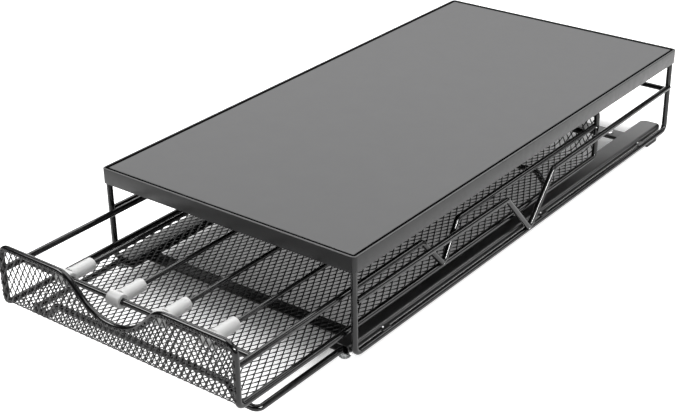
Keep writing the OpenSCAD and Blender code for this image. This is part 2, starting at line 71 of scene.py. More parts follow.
# Stand: legs, rails and braces
LEG_X, LEG_FRONT_Y, LEG_REAR_Y = 97, 3, 397
LEG_TOP_Z, LEG_BEND_R = 66.5, 5
STAND_RAIL_Z = 3.6
MID_RAIL_X, MID_RAIL_Z, MID_RAIL_SETBACK = 98, 39.1, 0.9
BRACE_Y, BRACE_W, BRACE_TOP_Z, BRACE_TIP_LIFT = 194.5, 59, 37.6, 2.62
BRACE_TOP_R, BRACE_TIP_R = 4, 3
REAR_TIE_Z = 36.6

# Stand: channels, tabs, strips, screws, feet and pads
CHANNEL_OUT_X, CHANNEL_IN_X = 94.4, 80
CHANNEL_LOW_Z, CHANNEL_TOP_Z = 2.5, 8.7
CHANNEL_FRONT_Y, CHANNEL_END_Y = 1, 394
CHANNEL_BEND_R, CHANNEL_CORNER_R = 2.2, 5
SHEET_T, SHEET_EDGE_R = 0.8, 0.2
TAB_Y = {"front": 34, "middle": 216, "rear": 358}
TAB_X = (CHANNEL_OUT_X - 0.4, LEG_X + 0.8)
TAB_L, TAB_Z, TAB_CORNER_R = 8, 5.6, 0.9
FRONT_STRIP, FRONT_STRIP_W, FRONT_STRIP_CORNER_R = (15.5, 26.5), 168, 1.5
REAR_STRIP, STRIP_LIP_H, STRIP_BEND_R = (352, 364.5), 2.4, 1.2
SCREW_X, SCREW_Y = 70, 358.25
FOOT_Y, FOOT_L, FOOT_W, FOOT_TOP_Z, FOOT_GROOVE_R = 366.5, 15, 3.6, 2.5, 2.02
PAD_X, PAD_Y = CHANNEL_OUT_X - 4, 2

# Drawer, pulled out: wires round its ends, rails, side wires and the finger dip
FRONT_Y, REAR_Y = -91, 295
RAIL_X, RAIL_Z, RAIL_END_Z = 91.5, 17.4, 23.4
SIDE_X, SIDE_Z = 90, 41.1
DRAWER_TOP_Z = 55.8
RAIL_BEND_R = 4
TIP_X, TIP_Z = 92.6, 19.97
DRAWER_BRACE_Y, DRAWER_BRACE_W = 99.5, 38.8
DIP_HALF_W, DIP_VERTEX_Z = 36, 19.8
CORNER_R, SHOULDER_R, DIP_R = 7, 16, 35

# Drawer: the loop it slides on, the rods, and the dividers with their clips
RUNNER_X, RUNNER_Z = 89.6, 5.6
LOOP_Z = 15.0
RAMP_FOOT_X, RAMP_TOP_X, RAMP_BEND_R, LOOP_JOIN_X = 76, 68, 4, 78.6
LOOP_FRONT_Y, LOOP_REAR_Y, LOOP_CORNER_R = -74, 254.5, 4
FRONT_ROD_Y, REAR_ROD_Y = -77, 281
DIVIDER_X = (-52.5, -10.8, 24.5, 60.5)
DIVIDER_D, DIVIDER_SETBACK = 3, 8
HUB_D, HUB_L, HUB_EDGE_R, HUB_PLAY, HUB_CHAMFER = 9, 10, 0.7, 0.08, 0.25
SLEEVE_D, SLEEVE_START, SLEEVE_L, SLEEVE_EDGE_R, SLEEVE_CHAMFER = 8.2, 3.0, 20.5, 0.5, 0.4
COLLAR_Y, COLLAR_RISE = (5.0, 5.6), 0.35

# Expanded mesh, as one folded sheet
CELL_W, CELL_L = 4.5, 8.1
KNOT_W, KNOT_L = 0.95, 1.35
MESH_T, MESH_TILT = 0.32, 0.12
MESH_PAST_WIRE = 0.5
MESH_FRONT_Y, MESH_REAR_Y, MESH_FLOOR_Z = -93.35, 297.35, 17.4
MESH_TOP_Z = DRAWER_TOP_Z + 1
FOLD_R = 6
MESH_FLOOR_HALF_W = 90.5

BEAD_SEED = 7


def at(x, y, z):
    """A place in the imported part's frame, in metres."""
    return Vector((x, y - MIDDLE_Y, z)) * MM


# ---------------------------------------------------------------- finishes


# Sockets of a Mix node that is set to colours
MIX_FACTOR, COLOUR_A, COLOUR_B, COLOUR_RESULT = 0, 6, 7, 2


def new_material(name):
    material = bpy.data.materials.new(name)
    material.use_nodes = True
    nodes = material.node_tree.nodes
    nodes.clear()
    shader = nodes.new("ShaderNodeBsdfPrincipled")
    output = nodes.new("ShaderNodeOutputMaterial")
    material.node_tree.links.new(shader.outputs["BSDF"], output.inputs["Surface"])
    return material, nodes, material.node_tree.links, shader


def noise(nodes, links, scale, detail):
    place = nodes.new("ShaderNodeTexCoord")
    texture = nodes.new("ShaderNodeTexNoise")
    texture.inputs["Scale"].default_value = scale
    texture.inputs["Detail"].default_value = detail
    links.new(place.outputs["Object"], texture.inputs["Vector"])
    return texture.outputs["Fac"]


def spread(nodes, links, source, low, high):
    """Maps a noise of 0.3 to 0.7 onto low to high."""
    ramp = nodes.new("ShaderNodeMapRange")
    ramp.inputs["From Min"].default_value = 0.3
    ramp.inputs["From Max"].default_value = 0.7
    ramp.inputs["To Min"].default_value = low
    ramp.inputs["To Max"].default_value = high
    links.new(source, ramp.inputs["Value"])
    return ramp.outputs["Result"]


def blend_colours(nodes, links, factor, dark, light):
    mix = nodes.new("ShaderNodeMix")
    mix.data_type = "RGBA"
    mix.inputs[COLOUR_A].default_value = (*dark, 1)
    mix.inputs[COLOUR_B].default_value = (*light, 1)
    links.new(factor, mix.inputs[MIX_FACTOR])
    return mix.outputs[COLOUR_RESULT]


def mottle(nodes, links, shader, dark, light, scale, detail):
    """Lets the colour drift between a darker and a lighter shade."""
    drift = spread(nodes, links, noise(nodes, links, scale, detail), 0, 1)
    links.new(blend_colours(nodes, links, drift, dark, light), shader.inputs["Base Color"])


def uneven_gloss(nodes, links, shader, low, high, scale, detail):
    links.new(spread(nodes, links, noise(nodes, links, scale, detail), low, high),
              shader.inputs["Roughness"])


def orange_peel(nodes, links, shader, strength, depth, scale):
    """Fine waviness of the surface, with its depth in millimetres."""
    bump = nodes.new("ShaderNodeBump")
    bump.inputs["Strength"].default_value = strength
    bump.inputs["Distance"].default_value = depth * MM
    links.new(noise(nodes, links, scale, 2), bump.inputs["Height"])
    links.new(bump.outputs["Normal"], shader.inputs["Normal"])


def powder_coat(name, dark, light, roughness, specular, peel=0.12, peel_scale=1400, uneven=0.045):
    """Powder coat: faint mottling, uneven gloss and an orange-peel surface."""
    material, nodes, links, shader = new_material(name)
    mottle(nodes, links, shader, dark, light, scale=60, detail=4)
    uneven_gloss(nodes, links, shader, roughness - uneven, roughness + uneven, scale=220, detail=3)
    shader.inputs["Specular IOR Level"].default_value = specular
    orange_peel(nodes, links, shader, peel, depth=0.08, scale=peel_scale)
    return material


def plastic(name, dark, light, roughness, transmission=0.0):
    """Moulded plastic or rubber, with a fine grain; transmission makes it clear."""
    material, nodes, links, shader = new_material(name)
    mottle(nodes, links, shader, dark, light, scale=90, detail=3)
    uneven_gloss(nodes, links, shader, roughness - 0.05, roughness + 0.06, scale=400, detail=2)
    shader.inputs["Transmission Weight"].default_value = transmission
    orange_peel(nodes, links, shader, 0.08, depth=0.05, scale=2600)
    return material


def bare_metal(name, dark, light, roughness):
    material, nodes, links, shader = new_material(name)
    shader.inputs["Metallic"].default_value = 1.0
    mottle(nodes, links, shader, dark, light, scale=700, detail=3)
    uneven_gloss(nodes, links, shader, roughness - 0.06, roughness + 0.1, scale=900, detail=2)
    return material


WIRE_COAT = powder_coat("wire_coat", (0.004, 0.004, 0.0042), (0.008, 0.008, 0.0085), 0.16, 0.45)
MESH_COAT = powder_coat("mesh_coat", (0.003, 0.003, 0.0032), (0.006, 0.006, 0.0063), 0.3, 0.35)
SHEET_COAT = powder_coat("sheet_coat", (0.006, 0.006, 0.0063), (0.009, 0.009, 0.0095), 0.36, 1.0,
                         peel=0.03, uneven=0.015)
RIM_COAT = powder_coat("rim_coat", (0.014, 0.014, 0.0145), (0.018, 0.018, 0.0185), 0.34, 0.36,
                       peel=0.1)
TOP_COAT = powder_coat("top_coat", (0.047, 0.0475, 0.049), (0.051, 0.0515, 0.053), 0.32, 0.45,
                       peel=0.04, peel_scale=1800, uneven=0.008)
# Near-black and matt: painted shade that darkens the gap round the panel.
SEAM_PAINTED_SHADE = powder_coat("seam_painted_shade", (0.001, 0.001, 0.001), (0.002, 0.002, 0.002), 0.9, 0.02)
CLIP_PLASTIC = plastic("clip_plastic", (0.74, 0.74, 0.735), (0.78, 0.78, 0.775), 0.42)
FOOT_RUBBER = plastic("foot_rubber", (0.008, 0.008, 0.008), (0.014, 0.014, 0.014), 0.75)
CLEAR_PAD = plastic("clear_pad", (0.92, 0.94, 0.94), (0.95, 0.97, 0.97), 0.2, transmission=0.6)
PLATED = bare_metal("plated_steel", (0.7, 0.7, 0.7), (0.85, 0.85, 0.85), 0.3)
# Light bare metal on the weld beads: the beads are real, and their light colour is a painted
# highlight that makes them show as bright glints.
WELD = bare_metal("weld_bead_glint", (0.8, 0.8, 0.8), (0.95, 0.95, 0.95), 0.45)


# ---------------------------------------------------------------- node trees


def calculator(tree):
    """Returns a function that adds one math node to the tree and gives its result."""
    def maths(operation, a, b):
        node = tree.nodes.new("ShaderNodeMath")
        node.operation = operation
        for socket, value in zip(node.inputs, (a, b)):
            if isinstance(value, (int, float)):
                socket.default_value = value
            else:
                tree.links.new(value, socket)
        return node.outputs["Value"]

    return maths


def named_number(nodes, name):
    """Reads a number that each point of the source mesh holds."""
    number = nodes.new("GeometryNodeInputNamedAttribute")
    number.data_type = "FLOAT"
    number.inputs["Name"].default_value = name
    return number.outputs["Attribute"]


def new_tree(name, inputs):
    tree = bpy.data.node_groups.new(name, "GeometryNodeTree")
    tree.interface.new_socket("Geometry", in_out="INPUT", socket_type="NodeSocketGeometry")
    for label, kind, value in inputs:
        socket = tree.interface.new_socket(label, in_out="INPUT", socket_type=kind)
        if value is not None:
            socket.default_value = value
    tree.interface.new_socket("Geometry", in_out="OUTPUT", socket_type="NodeSocketGeometry")
    start = tree.nodes.new("NodeGroupInput")
    end = tree.nodes.new("NodeGroupOutput")
    return tree, start, end


def finish_tree(tree, start, end, geometry):
    """Ends a tree in Realize Instances and Set Material."""
    real = tree.nodes.new("GeometryNodeRealizeInstances")
    paint = tree.nodes.new("GeometryNodeSetMaterial")
    tree.links.new(geometry, real.inputs["Geometry"])
    tree.links.new(real.outputs["Geometry"], paint.inputs["Geometry"])
    tree.links.new(start.outputs["Finish"], paint.inputs["Material"])
    tree.links.new(paint.outputs["Geometry"], end.inputs["Geometry"])


def grown(tree, source, values, name):
    """Runs a tree on the source object, whose mesh becomes the plain result."""
    modifier = source.modifiers.new(tree.name, "NODES")
    modifier.node_group = tree
    for item in tree.interface.items_tree:
        if item.item_type == "SOCKET" and item.in_out == "INPUT" and item.name in values:
            modifier[item.identifier] = values[item.name]
    depsgraph = bpy.context.evaluated_depsgraph_get()
    mesh = bpy.data.meshes.new_from_object(source.evaluated_get(depsgraph), depsgraph=depsgraph)
    source.modifiers.remove(modifier)
    source.data = mesh
    mesh.name = name
    source.name = name
    return source


def bent_wire_tree():
    """Rounds each corner of a line to its own bend radius and sweeps a round wire along it."""
    tree, start, end = new_tree("Bent wire", [
        ("Diameter", "NodeSocketFloat", WIRE_D * MM),
        ("Sides", "NodeSocketInt", 24),
        ("Bend steps", "NodeSocketInt", 8),
        ("Finish", "NodeSocketMaterial", None),
    ])
    nodes, links = tree.nodes, tree.links
    line = nodes.new("GeometryNodeMeshToCurve")
    fillet = nodes.new("GeometryNodeFilletCurve")
    fillet.mode = "POLY"
    ring = nodes.new("GeometryNodeCurvePrimitiveCircle")
    sweep = nodes.new("GeometryNodeCurveToMesh")
    sweep.inputs["Fill Caps"].default_value = True
    smooth = nodes.new("GeometryNodeSetShadeSmooth")
    links.new(start.outputs["Geometry"], line.inputs["Mesh"])
    links.new(line.outputs["Curve"], fillet.inputs["Curve"])
    links.new(named_number(nodes, "bend_radius"), fillet.inputs["Radius"])
    links.new(start.outputs["Bend steps"], fillet.inputs["Count"])
    half = calculator(tree)("MULTIPLY", start.outputs["Diameter"], 0.5)
    links.new(half, ring.inputs["Radius"])
    links.new(start.outputs["Sides"], ring.inputs["Resolution"])
    links.new(fillet.outputs["Curve"], sweep.inputs["Curve"])
    links.new(ring.outputs["Curve"], sweep.inputs["Profile Curve"])
    links.new(sweep.outputs["Mesh"], smooth.inputs["Geometry"])
    finish_tree(tree, start, end, smooth.outputs["Geometry"])
    return tree


def expanded_sheet_tree():
    """Repeats a tile of one knot and two strands over two staggered grids and welds them."""
    tree, start, end = new_tree("Expanded sheet", [
        ("Columns", "NodeSocketInt", 2),
        ("Rows", "NodeSocketInt", 2),
        ("Cell width", "NodeSocketFloat", CELL_W * MM),
        ("Cell length", "NodeSocketFloat", CELL_L * MM),
        ("Weld distance", "NodeSocketFloat", 0.02 * MM),
        ("Finish", "NodeSocketMaterial", None),
    ])
    nodes, links, maths = tree.nodes, tree.links, calculator(tree)
    across, along = start.outputs["Cell width"], start.outputs["Cell length"]
    columns, rows = start.outputs["Columns"], start.outputs["Rows"]
    width = maths("MULTIPLY", across, maths("SUBTRACT", columns, 1))
    length = maths("MULTIPLY", along, maths("SUBTRACT", rows, 1))
    join = nodes.new("GeometryNodeJoinGeometry")
    for quarter in (0.25, -0.25):
        grid = nodes.new("GeometryNodeMeshGrid")
        links.new(width, grid.inputs["Size X"])
        links.new(length, grid.inputs["Size Y"])
        links.new(columns, grid.inputs["Vertices X"])
        links.new(rows, grid.inputs["Vertices Y"])
        shift = nodes.new("ShaderNodeCombineXYZ")
        links.new(maths("MULTIPLY", across, quarter), shift.inputs["X"])
        links.new(maths("MULTIPLY", along, quarter), shift.inputs["Y"])
        moved = nodes.new("GeometryNodeTransform")
        links.new(grid.outputs["Mesh"], moved.inputs["Geometry"])
        links.new(shift.outputs["Vector"], moved.inputs["Translation"])
        tiles = nodes.new("GeometryNodeInstanceOnPoints")
        links.new(moved.outputs["Geometry"], tiles.inputs["Points"])
        links.new(start.outputs["Geometry"], tiles.inputs["Instance"])
        links.new(tiles.outputs["Instances"], join.inputs["Geometry"])
    real = nodes.new("GeometryNodeRealizeInstances")
    weld = nodes.new("GeometryNodeMergeByDistance")
    links.new(start.outputs["Weld distance"], weld.inputs["Distance"])
    links.new(join.outputs["Geometry"], real.inputs["Geometry"])
    links.new(real.outputs["Geometry"], weld.inputs["Geometry"])
    finish_tree(tree, start, end, weld.outputs["Geometry"])
    return tree


def weld_bead_tree():
    """Sets a small uneven bead on each point, as wide as the point says."""
    tree, start, end = new_tree("Weld beads", [
        ("Seed", "NodeSocketInt", BEAD_SEED),
        ("Least size", "NodeSocketVector", (0.85, 0.85, 0.8)),
        ("Most size", "NodeSocketVector", (1.15, 1.15, 1.0)),
        ("Finish", "NodeSocketMaterial", None),
    ])
    nodes, links = tree.nodes, tree.links
    ball = nodes.new("GeometryNodeMeshIcoSphere")
    ball.inputs["Subdivisions"].default_value = 2
    ball.inputs["Radius"].default_value = 1.0
    uneven = nodes.new("FunctionNodeRandomValue")
    uneven.data_type = "FLOAT_VECTOR"
    scale = nodes.new("ShaderNodeVectorMath")
    scale.operation = "SCALE"
    beads = nodes.new("GeometryNodeInstanceOnPoints")
    smooth = nodes.new("GeometryNodeSetShadeSmooth")
    real = nodes.new("GeometryNodeRealizeInstances")
    links.new(start.outputs["Least size"], uneven.inputs[0])
    links.new(start.outputs["Most size"], uneven.inputs[1])
    links.new(start.outputs["Seed"], uneven.inputs["Seed"])
    links.new(uneven.outputs[0], scale.inputs[0])
    links.new(named_number(nodes, "bead_radius"), scale.inputs["Scale"])
    links.new(start.outputs["Geometry"], beads.inputs["Points"])
    links.new(ball.outputs["Mesh"], beads.inputs["Instance"])
    links.new(scale.outputs["Vector"], beads.inputs["Scale"])
    links.new(beads.outputs["Instances"], real.inputs["Geometry"])
    links.new(real.outputs["Geometry"], smooth.inputs["Geometry"])
    finish_tree(tree, start, end, smooth.outputs["Geometry"])
    return tree


BENT_WIRE = bent_wire_tree()
EXPANDED_SHEET = expanded_sheet_tree()
WELD_BEADS = weld_bead_tree()


# ---------------------------------------------------------------- mesh helpers


def new_object(name, points, edges=(), faces=()):
    mesh = bpy.data.meshes.new(name)
    mesh.from_pydata([tuple(p) for p in points], edges, faces)
    mesh.update()
    made = bpy.data.objects.new(name, mesh)
    bpy.context.scene.collection.objects.link(made)
    return made


def numbers_on(mesh, name, values):
    mesh.attributes.new(name, "FLOAT", "POINT").data.foreach_set("value", values)


def dress(piece, material, body, nodes=(), sharp=None):
    """Gives a finished piece its material, its body and what it stands for.

    Its faces are shaded smooth up to the angle sharp, in degrees, or flat without one.
    """
    mesh = piece.data
    mesh.materials.clear()
    mesh.materials.append(material)
    if sharp is not None:
        mesh.shade_smooth()
        mesh.set_sharp_from_angle(angle=math.radians(sharp))
    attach(piece, body)
    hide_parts(*nodes)


def baked(piece):
    """Applies a piece's modifiers and leaves a plain mesh."""
    depsgraph = bpy.context.evaluated_depsgraph_get()
    mesh = bpy.data.meshes.new_from_object(piece.evaluated_get(depsgraph), depsgraph=depsgraph)
    piece.modifiers.clear()
    piece.data = mesh


def sections(name, rings, closed=False, caps=True):
    """Skin over rings of points that all have the same count, in order along the piece."""
    count = len(rings[0])
    points = [p for ring in rings for p in ring]
    faces = []
    spans = len(rings) if closed else len(rings) - 1
    for i in range(spans):
        a, b = i * count, (i + 1) % len(rings) * count
        for j in range(count):
            k = (j + 1) % count
            faces.append((a + j, a + k, b + k, b + j))
    if caps and not closed:
        faces.append(tuple(reversed(range(count))))
        faces.append(tuple(range(len(points) - count, len(points))))
    piece = new_object(name, points, faces=faces)
    outwards(piece)
    return piece


def outwards(piece):
    """Merges doubles and turns every face outwards."""
    work = bmesh.new()
    work.from_mesh(piece.data)
    bmesh.ops.remove_doubles(work, verts=work.verts, dist=1e-6)
    bmesh.ops.recalc_face_normals(work, faces=work.faces)
    work.to_mesh(piece.data)
    work.free()


def spokes(axis, count):
    """Directions round an axis, evenly spaced."""
    aside = axis.orthogonal().normalized()
    other = axis.cross(aside)
    turns = (2 * math.pi * i / count for i in range(count))
    return [aside * math.cos(t) + other * math.sin(t) for t in turns]


def turned(name, profile, centre):
    """Lathe: profile of (height, radius) that starts and ends on an upright axis at the centre."""
    up = Vector((0, 0, 1))
    rings = [[centre + (up * along + spoke * radius) * MM for spoke in spokes(up, 40)]
             for along, radius in profile]
    return sections(name, rings, caps=False)


def arc(centre, radius, start, stop, steps=4):
    """Points round a centre from angle start to stop, in degrees."""
    turns = (math.radians(start + (stop - start) * i / steps) for i in range(steps + 1))
    return [(centre[0] + radius * math.cos(t), centre[1] + radius * math.sin(t)) for t in turns]


def wire(name, corners, radii, body, node, diameter=WIRE_D, steps=8):
    """A bent round wire along corners, in millimetres, with a radius for each inner corner."""
    points = [at(*c) for c in corners]
    source = new_object(name, points, [(i, i + 1) for i in range(len(points) - 1)])
    numbers_on(source.data, "bend_radius", [0.0, *[r * MM for r in radii], 0.0])
    grown(BENT_WIRE, source, {
        "Diameter": diameter * MM, "Bend steps": steps, "Finish": WIRE_COAT,
    }, name)
    dress(source, WIRE_COAT, body, [node], sharp=50)


def brace_corner(a, tip, c, radius):
    """Where the two arms of a brace meet, so that their bend just reaches the tip."""
    a, tip, c = Vector(a), Vector(tip), Vector(c)
    middle = (a + c) / 2
    depth, half = (tip - middle).length, (c - a).length / 2
    return tip + (tip - middle).normalized() * radius * (1 / math.cos(math.atan(depth / half)) - 1)


# ---------------------------------------------------------------- stand: wires


for word, side in SIDES.items():
    x = side * LEG_X
    wire(f"{word}_leg_frame", [
        (x, LEG_FRONT_Y, LEG_TOP_Z), (x, LEG_FRONT_Y, STAND_RAIL_Z),
        (x, LEG_REAR_Y, STAND_RAIL_Z), (x, LEG_REAR_Y, LEG_TOP_Z),
    ], [LEG_BEND_R, LEG_BEND_R], "housing", f"{word}_side_frame")
    x = side * MID_RAIL_X
    before = (x, BRACE_Y - BRACE_W / 2, BRACE_TOP_Z)
    after = (x, BRACE_Y + BRACE_W / 2, BRACE_TOP_Z)
    tip = (x, BRACE_Y, STAND_RAIL_Z + BRACE_TIP_LIFT)
    wire(f"{word}_braced_rail", [
        (x, LEG_FRONT_Y + MID_RAIL_SETBACK, MID_RAIL_Z),
        before, brace_corner(before, tip, after, BRACE_TIP_R), after,
        (x, LEG_REAR_Y - MID_RAIL_SETBACK, MID_RAIL_Z),
    ], [BRACE_TOP_R, BRACE_TIP_R, BRACE_TOP_R], "housing", f"{word}_mid_rail")

wire("rear_tie", [(-LEG_X, LEG_REAR_Y, REAR_TIE_Z), (LEG_X, LEG_REAR_Y, REAR_TIE_Z)], [],
     "housing", "rear_tie_wire")


# ---------------------------------------------------------------- stand: top


def rounded_loop(half_w, half_l, radius, centre_y, z, steps=6):
    """Points round a rectangle with rounded corners, the same count at every size."""
    points = []
    corners = ((1, 1), (-1, 1), (-1, -1), (1, -1))
    for quarter, (sx, sy) in enumerate(corners):
        for i in range(steps + 1):
            t = math.pi / 2 * (quarter + i / steps)
            points.append(at(
                sx * (half_w - radius) + radius * math.cos(t),
                centre_y + sy * (half_l - radius) + radius * math.sin(t),
                z,
            ))
    return points


def top_loops(profile):
    """Rings round the stand's top, one for each (inset from its sides, z)."""
    return [
        rounded_loop(STAND_W / 2 - inset, STAND_L / 2 - inset, max(RIM_R - inset, INNER_CORNER_R),
                     STAND_L / 2, z)
        for inset, z in profile
    ]


def folded_rim():
    """Rim with a rounded outer edge, a lip round the panel and the ledge under it.

    The faces of the lip that look up have the panel's lighter coat, a painted highlight along the
    lip of the rim's own sheet.
    """
    low, soft, nick, looks_up = STAND_H - RIM_H, 0.3, 0.08, 0.6
    rim = sections("folded_rim", top_loops([
        (RIM_T, low), (soft, low), (nick, low + nick), (0.0, low + soft),
        *arc((RIM_EDGE_R, STAND_H - RIM_EDGE_R), RIM_EDGE_R, 180, 90, 6),
        *arc((LIP_W - LIP_EDGE_R, STAND_H - LIP_EDGE_R), LIP_EDGE_R, 90, 0, 3),
        (LIP_W, LEDGE_TOP_Z), (LEDGE_W, LEDGE_TOP_Z), (LEDGE_W, LEG_TOP_Z), (RIM_T, LEG_TOP_Z),
    ]), closed=True)
    dress(rim, RIM_COAT, "housing", ["top_rim"], sharp=50)
    # Painted highlight: the lip's upward faces take the lighter panel coat.
    rim.data.materials.append(TOP_COAT)
    for face in rim.data.polygons:
        if face.normal.z > looks_up and face.center.z > (STAND_H - RIM_EDGE_R) * MM:
            face.material_index = 1


def top_plate():
    """Panel that lies on the ledge, with softened edges."""
    edge, tuck, flat_from = PANEL_EDGE_R, 0.4, 1.2
    plate = sections("top_plate", top_loops([
        (PANEL_INSET + tuck, LEDGE_TOP_Z), (PANEL_INSET, LEDGE_TOP_Z + edge),
        *arc((PANEL_INSET + edge, PANEL_TOP_Z - edge), edge, 180, 90, 3),
        (PANEL_INSET + flat_from, PANEL_TOP_Z),
    ]))
    dress(plate, TOP_COAT, "housing", ["top_panel"], sharp=50)


def painted_seam_shade():
    """Near-black strip in the gap between the lip and the panel, which paints the gap's shade."""
    outer, inner = LIP_W + SEAM_PLAY, PANEL_INSET - SEAM_PLAY
    low, top = LEDGE_TOP_Z + SEAM_PLAY, PANEL_TOP_Z - SEAM_DROP
    seam = sections("painted_seam_shade", top_loops([
        (outer, low), (outer, top), (inner, top), (inner, low),
    ]), closed=True)
    dress(seam, SEAM_PAINTED_SHADE, "housing", sharp=50)


folded_rim()
top_plate()
painted_seam_shade()


# ---------------------------------------------------------------- stand: channels and strips


def channel_section(inner_x):
    """Closed outline of the channel's sheet, from its open side round its wall and back."""
    bend = CHANNEL_BEND_R
    bend_x, low_z, top_z = CHANNEL_OUT_X - bend, CHANNEL_LOW_Z + bend, CHANNEL_TOP_Z - bend
    inside = bend - SHEET_T
    return [
        (inner_x, CHANNEL_LOW_Z),
        *arc((bend_x, low_z), bend, -90, 0, 7), *arc((bend_x, top_z), bend, 0, 90, 7),
        (inner_x, CHANNEL_TOP_Z), (inner_x, CHANNEL_TOP_Z - SHEET_T),
        *arc((bend_x, top_z), inside, 90, 0, 7), *arc((bend_x, low_z), inside, 0, -90, 7),
        (inner_x, CHANNEL_LOW_Z + SHEET_T),
    ]


def channel(word, side):
    """Channel open to the drawer, with the corner of its two flanges rounded at the rear."""
    corner = arc((CHANNEL_IN_X + CHANNEL_CORNER_R, CHANNEL_END_Y - CHANNEL_CORNER_R),
                 CHANNEL_CORNER_R, 180, 90, 8)
    rings = [
        [at(side * x, y, z) for x, z in channel_section(inner_x)]
        for inner_x, y in [(CHANNEL_IN_X, CHANNEL_FRONT_Y), *corner]
    ]
    piece = sections(f"{word}_slide_channel", rings)
    dress(piece, SHEET_COAT, "housing", [f"{word}_channel"], sharp=40)


def flat_plate(name, x_range, y_range, z0, corner_r, node, material):
    """Flat sheet with rounded corners and softened edges, lying on z0."""
    (x0, x1), (y0, y1), z1 = x_range, y_range, z0 + SHEET_T
    edge, nick = SHEET_EDGE_R, SHEET_EDGE_R * 0.3
    levels = [(edge, z0), (nick, z0 + nick), (0, z0 + edge),
              (0, z1 - edge), (nick, z1 - nick), (edge, z1)]
    aside = Vector((x0 + x1, 0, 0)) / 2 * MM
    rings = [
        [aside + p for p in rounded_loop((x1 - x0) / 2 - inset, (y1 - y0) / 2 - inset,
                                         corner_r - inset, (y0 + y1) / 2, z, 4)]
        for inset, z in levels
    ]
    dress(sections(name, rings), material, "housing", [node], sharp=50)


def rear_strip():
    """Strip between the channels, with its front edge folded down as a stop."""
    y0, y1 = REAR_STRIP
    top, under = CHANNEL_TOP_Z, CHANNEL_TOP_Z - SHEET_T
    low = CHANNEL_TOP_Z - STRIP_LIP_H
    bend = (y0 + STRIP_BEND_R, top - STRIP_BEND_R)
    nick, edge = 0.15, SHEET_EDGE_R
    outline = [
        (y1, under + edge), (y1 - nick, under), *arc(bend, STRIP_BEND_R - SHEET_T, 90, 180),
        (y0 + SHEET_T, low + edge / 2), (y0 + SHEET_T - nick, low),
        (y0 + nick, low), (y0, low + edge / 2),
        *arc(bend, STRIP_BEND_R, 180, 90), (y1 - nick, top), (y1, top - edge),
    ]
    rings = [[at(x, y, z) for y, z in outline] for x in (-CHANNEL_IN_X, CHANNEL_IN_X)]
    piece = sections("rear_stop_strip", rings)
    dress(piece, SHEET_COAT, "housing", ["rear_strip"], sharp=40)


for word, side in SIDES.items():
    channel(word, side)
    for where, y in TAB_Y.items():
        flat_plate(f"{word}_{where}_weld_tab", sorted(side * x for x in TAB_X),
                   (y - TAB_L / 2, y + TAB_L / 2), TAB_Z, TAB_CORNER_R, f"{word}_tab_{where}",
                   SHEET_COAT)
# The strip takes the rim's lighter coat, not the channels' darker one: painted light that lifts it
# out of the shade under the stand.
flat_plate("front_cross_strip", (-FRONT_STRIP_W / 2, FRONT_STRIP_W / 2), FRONT_STRIP,
           CHANNEL_LOW_Z - SHEET_T, FRONT_STRIP_CORNER_R, "front_strip", RIM_COAT)
rear_strip()


# ---------------------------------------------------------------- stand: screws, feet and pads


def stop_screw(word, side):
    """Screw through the rear strip: a round head with a shallow dimple."""
    low, shank_r, head_r, head_h = -SHEET_T, 1.4, 3.5, 1.3
    head = turned(f"{word}_round_screw", [
        (low, 0), (low, shank_r), (0, shank_r + 0.05), (0, head_r - 0.1), (0.15, head_r),
        (0.45, head_r), (0.9, head_r - 0.25), (head_h - 0.05, head_r - 0.7), (head_h, 2.5),
        (head_h - 0.15, 2.25), (head_h - 0.25, 1.9), (head_h - 0.05, 1.3), (head_h, 0),
    ], at(side * SCREW_X, SCREW_Y, CHANNEL_TOP_Z))
    dress(head, PLATED, "housing", [f"{word}_stop_screw"], sharp=40)


def rear_foot(word, side):
    """Rubber foot whose groove grips the rail, drawn in at both ends below waist_z."""
    half, top, waist_z = FOOT_W / 2, FOOT_TOP_Z, 1.2
    edge, nick, ear = 0.5, 0.15, 0.2
    brim = math.degrees(math.asin((half - nick) / FOOT_GROOVE_R))
    groove = arc((0, STAND_RAIL_Z), FOOT_GROOVE_R, brim - 90, -brim - 90, 10)
    outline = [
        (-half, top - ear), (-half, edge), (-half + nick, nick), (-half + edge, 0),
        (half - edge, 0), (half - nick, nick), (half, edge), (half, top - ear),
        *((x, min(z, top)) for x, z in groove),
    ]
    front_end = ((0, 0.82), (0.25, 0.94), (0.7, 1.0))
    rear_end = tuple((FOOT_L - y, shrink) for y, shrink in reversed(front_end))
    rings = [
        [at(side * LEG_X + x * shrink, FOOT_Y + y, z if z > waist_z else top - (top - z) * shrink)
         for x, z in outline]
        for y, shrink in front_end + rear_end
    ]
    foot = sections(f"{word}_rubber_foot", rings)
    dress(foot, FOOT_RUBBER, "housing", [f"{word}_rear_foot"], sharp=40)


def clear_pad(word, side):
    """Domed clear pad stuck under the channel."""
    top, pad_r = CHANNEL_LOW_Z, 4.0
    pad = turned(f"{word}_bumper_pad", [
        (top, 0), (top, pad_r - 0.1), (top - 0.3, pad_r), (1.2, pad_r - 0.2), (0.5, pad_r - 0.7),
        (0.12, pad_r - 1.5), (0, pad_r - 2.4), (0, 0),
    ], at(side * PAD_X, PAD_Y, 0))
    dress(pad, CLEAR_PAD, "housing", [f"clear_pad_{word}"], sharp=40)


for word, side in SIDES.items():
    stop_screw(word, side)
for word, side in SIDES.items():
    rear_foot(word, side)
    clear_pad(word, side)


# ---------------------------------------------------------------- drawer: wires


